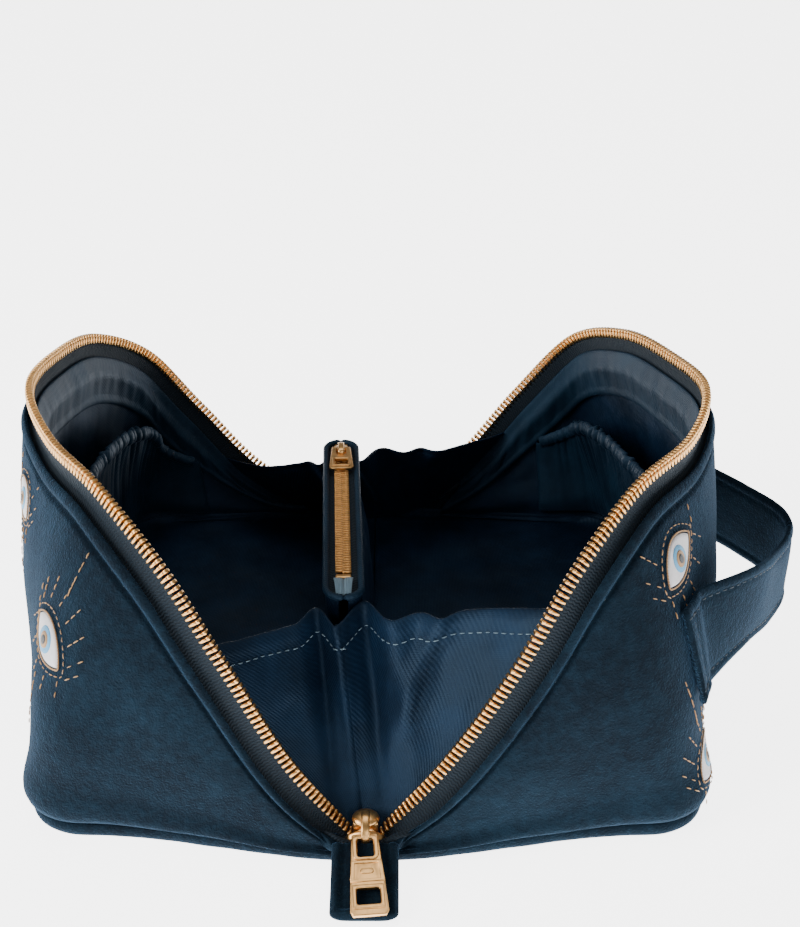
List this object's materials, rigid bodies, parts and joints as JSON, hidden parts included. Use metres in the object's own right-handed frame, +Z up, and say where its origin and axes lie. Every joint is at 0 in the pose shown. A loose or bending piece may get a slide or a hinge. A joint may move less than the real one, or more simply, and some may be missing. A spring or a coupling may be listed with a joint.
{
  "type": "zippered pouch",
  "caption": "Velvet make-up pouch that opens flat, with a metal zip round its rim, a zipped divider pocket and a side carrying strap.",
  "frame": {"origin": "on the table under the middle of the base seam", "axes": "+X across the pouch towards the carrying strap, +Y from the front V of the zip to the rear V, +Z up"},
  "size_m": [0.256, 0.251, 0.1072],
  "materials": {
    "velvet": "matte",
    "lining_satin": "satin",
    "zip_tape": "matte",
    "gold_metal": "polished",
    "foam": "matte",
    "board": "matte",
    "elastic": "matte"
  },
  "bodies": {
    "left_half": {"left_base_board": "board", "left_base_lining": "lining_satin", "left_base_velvet": "velvet", "left_elastic_pocket": "lining_satin", "left_facing_band": "lining_satin", "left_foam_layer": "foam", "left_lining": "lining_satin", "left_pocket_elastic": "elastic", "left_velvet_shell": "velvet", "left_zip_tape": "zip_tape", "left_zip_teeth": "gold_metal"},
    "right_half": {"handle_front_end": "velvet", "handle_rear_end": "velvet", "right_base_board": "board", "right_base_lining": "lining_satin", "right_base_velvet": "velvet", "right_elastic_pocket": "lining_satin", "right_facing_band": "lining_satin", "right_foam_layer": "foam", "right_lining": "lining_satin", "right_pocket_elastic": "elastic", "right_velvet_shell": "velvet", "right_zip_tape": "zip_tape", "right_zip_teeth": "gold_metal"},
    "main_slider": {"main_slider_body": "gold_metal"},
    "main_puller_body": {"main_puller": "gold_metal"},
    "divider_slider": {"divider_slider_body": "gold_metal"},
    "divider_puller_body": {"divider_puller": "gold_metal"},
    "handle": {"handle_strap": "velvet"},
    "base": {"base_center_strip": "velvet", "divider_front_stop": "gold_metal", "divider_left_panel": "lining_satin", "divider_left_piping": "lining_satin", "divider_left_tape": "zip_tape", "divider_rear_stop": "gold_metal", "divider_right_panel": "lining_satin", "divider_right_piping": "lining_satin", "divider_right_tape": "zip_tape", "divider_zip_teeth": "gold_metal", "front_gusset": "lining_satin", "front_tab": "velvet", "left_zip_top_stop": "gold_metal", "rear_gusset": "lining_satin", "rear_tab": "velvet", "right_zip_top_stop": "gold_metal", "zip_bottom_stop": "gold_metal", "zip_lower_teeth": "gold_metal"}
  },
  "joints": [
    {"name": "right_fold", "type": "hinge", "parent": "base", "child": "right_half", "pos_m": [0, 0, 0], "axis": [0, -1, 0], "range_deg": [0, 26], "deforming": ["front_gusset", "rear_gusset"]},
    {"name": "left_fold", "type": "hinge", "parent": "base", "child": "left_half", "pos_m": [0, 0, 0], "axis": [0, 1, 0], "range_deg": [0, 26]},
    {"name": "main_slider_travel", "type": "slide", "parent": "base", "child": "main_slider", "axis": [0, 0, 1], "range_m": [0, 0.0035]},
    {"name": "main_puller_flip", "type": "hinge", "parent": "main_slider", "child": "main_puller_body", "pos_m": [0, -0.10087, 0.0119], "axis": [-1, 0, 0], "range_deg": [0, 107]},
    {"name": "divider_slider_travel", "type": "slide", "parent": "base", "child": "divider_slider", "axis": [0.0454, -0.999, 0], "range_m": [0, 0.074]},
    {"name": "divider_puller_flip", "type": "hinge", "parent": "divider_slider", "child": "divider_puller_body", "pos_m": [-0.01146, 0.04316, 0.0622], "axis": [-0.999, -0.0454, 0], "range_deg": [0, 120]},
    {"name": "handle_swing", "type": "hinge", "parent": "right_half", "child": "handle", "pos_m": [0.1195, 0, 0.048], "axis": [0, 1, 0], "range_deg": [-28, 28]}
  ],
  "couplings": [
    {"joint": "left_fold", "follows": "right_fold", "ratio": 1}
  ]
}
